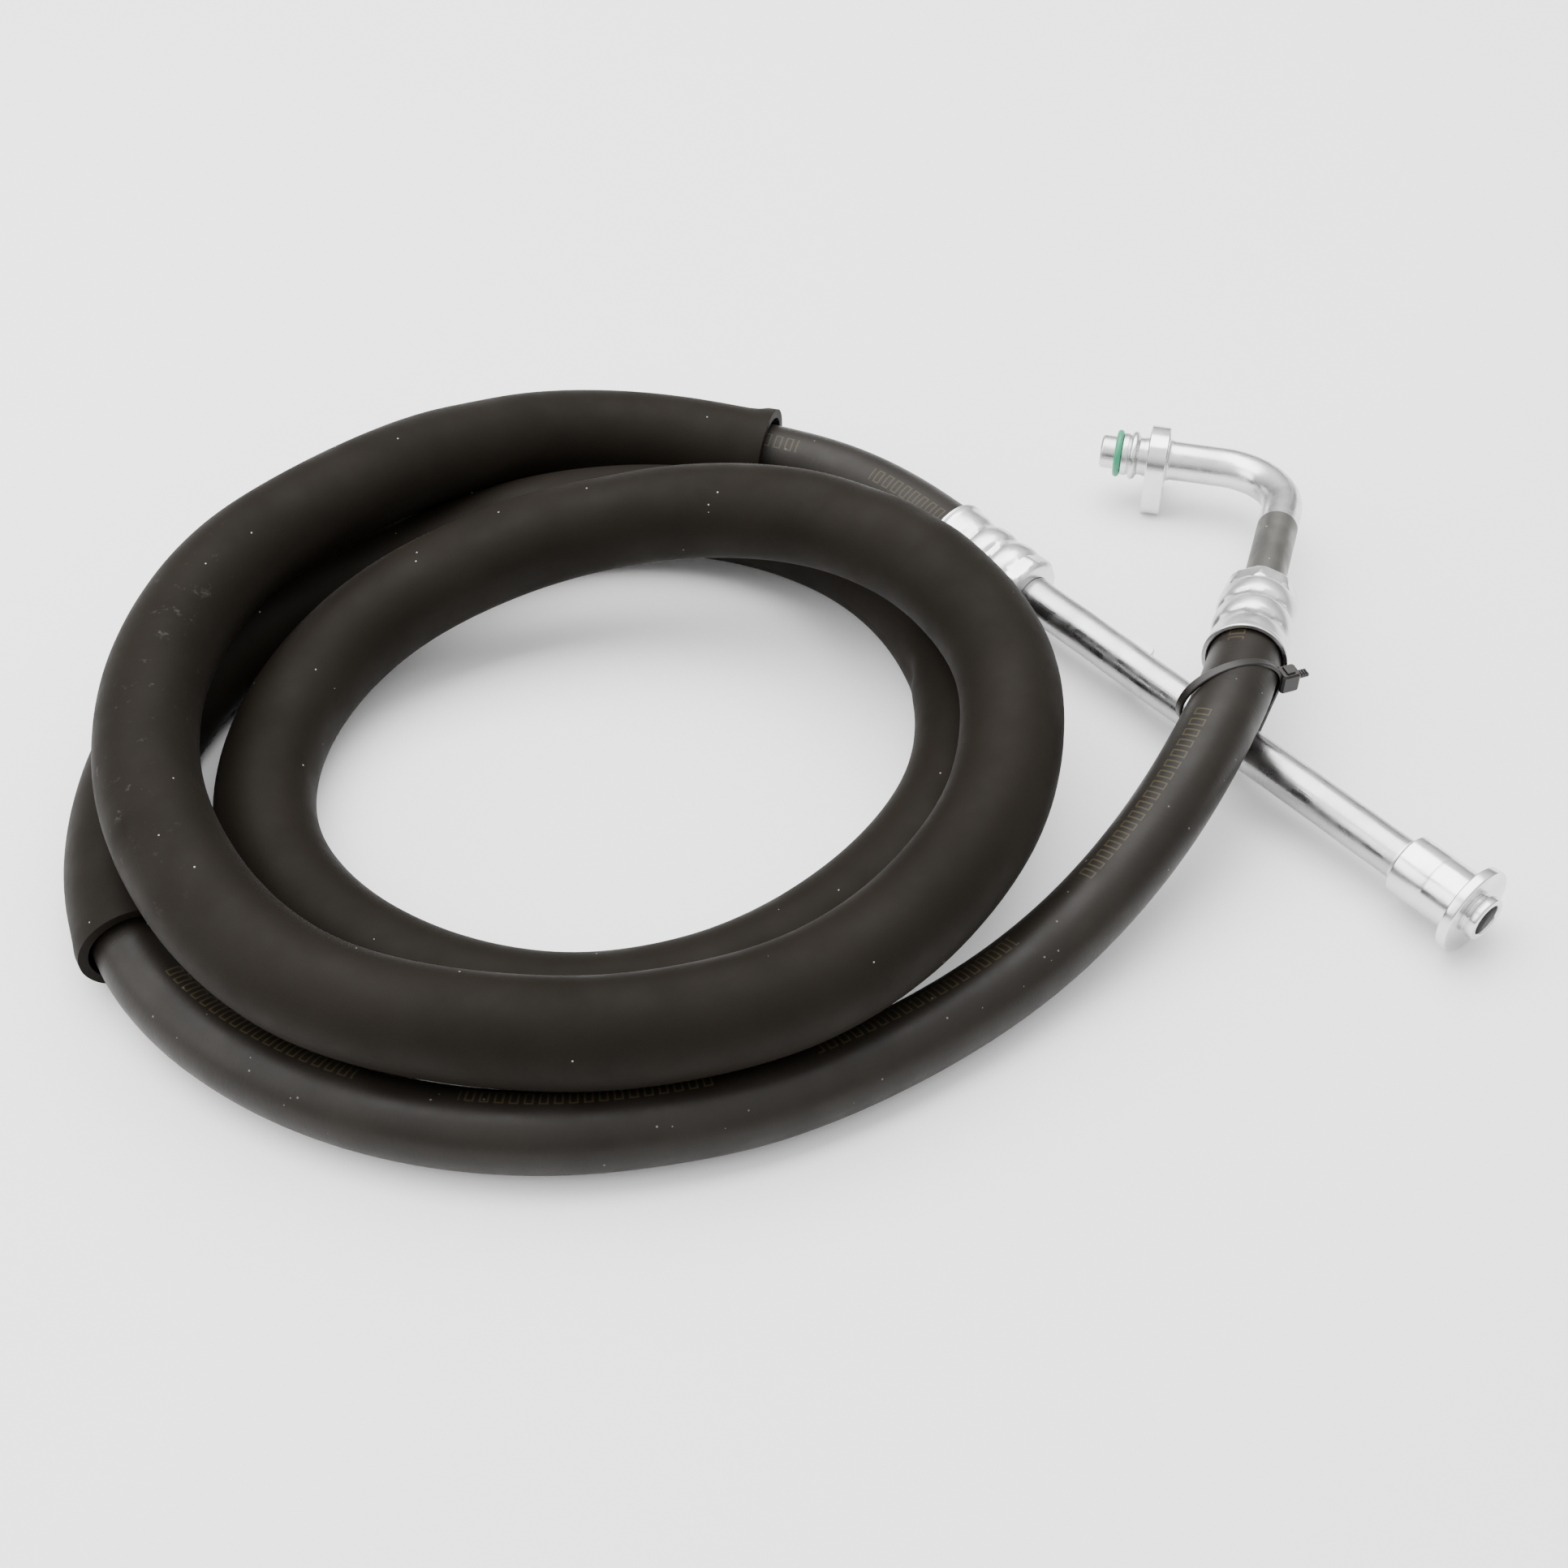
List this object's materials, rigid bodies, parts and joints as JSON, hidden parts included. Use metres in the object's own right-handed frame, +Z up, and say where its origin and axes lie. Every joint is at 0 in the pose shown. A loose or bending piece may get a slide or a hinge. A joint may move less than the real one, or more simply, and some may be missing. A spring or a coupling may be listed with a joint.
{
  "type": "air-conditioning hose assembly",
  "caption": "Loosely coiled rubber refrigerant hose in a foam sleeve, with crimped aluminium end pipes: a straight connector and an elbow with a bolted flange block.",
  "frame": {"origin": "at table height under the middle of the coiled assembly", "axes": "+Z up from the table, +X towards the side where the pipe ends are"},
  "size_m": [0.5034, 0.3788, 0.0763],
  "materials": {
    "hose_rubber": "satin black rubber with a fine wrapped texture",
    "textile_braid": "tight textile braid",
    "nylon_liner": "smooth nylon",
    "foam": "matt closed-cell foam skin",
    "aluminium": "bright drawn and machined aluminium",
    "o_ring_rubber": "smooth green rubber",
    "tie_nylon": "black nylon"
  },
  "bodies": {
    "root": {"hose_cover": "hose_rubber", "hose_braid": "textile_braid", "hose_inner_tube": "hose_rubber", "hose_barrier_liner": "nylon_liner", "foam_sleeve": "foam", "straight_ferrule": "aluminium", "straight_pipe": "aluminium", "pipe_locating_lug": "aluminium", "connector_braze_ring": "aluminium", "end_connector": "aluminium", "elbow_ferrule": "aluminium", "elbow_pipe": "aluminium", "flange_braze_ring": "aluminium", "flange_block": "aluminium", "o_ring": "o_ring_rubber", "cable_tie": "tie_nylon"}
  },
  "joints": []
}
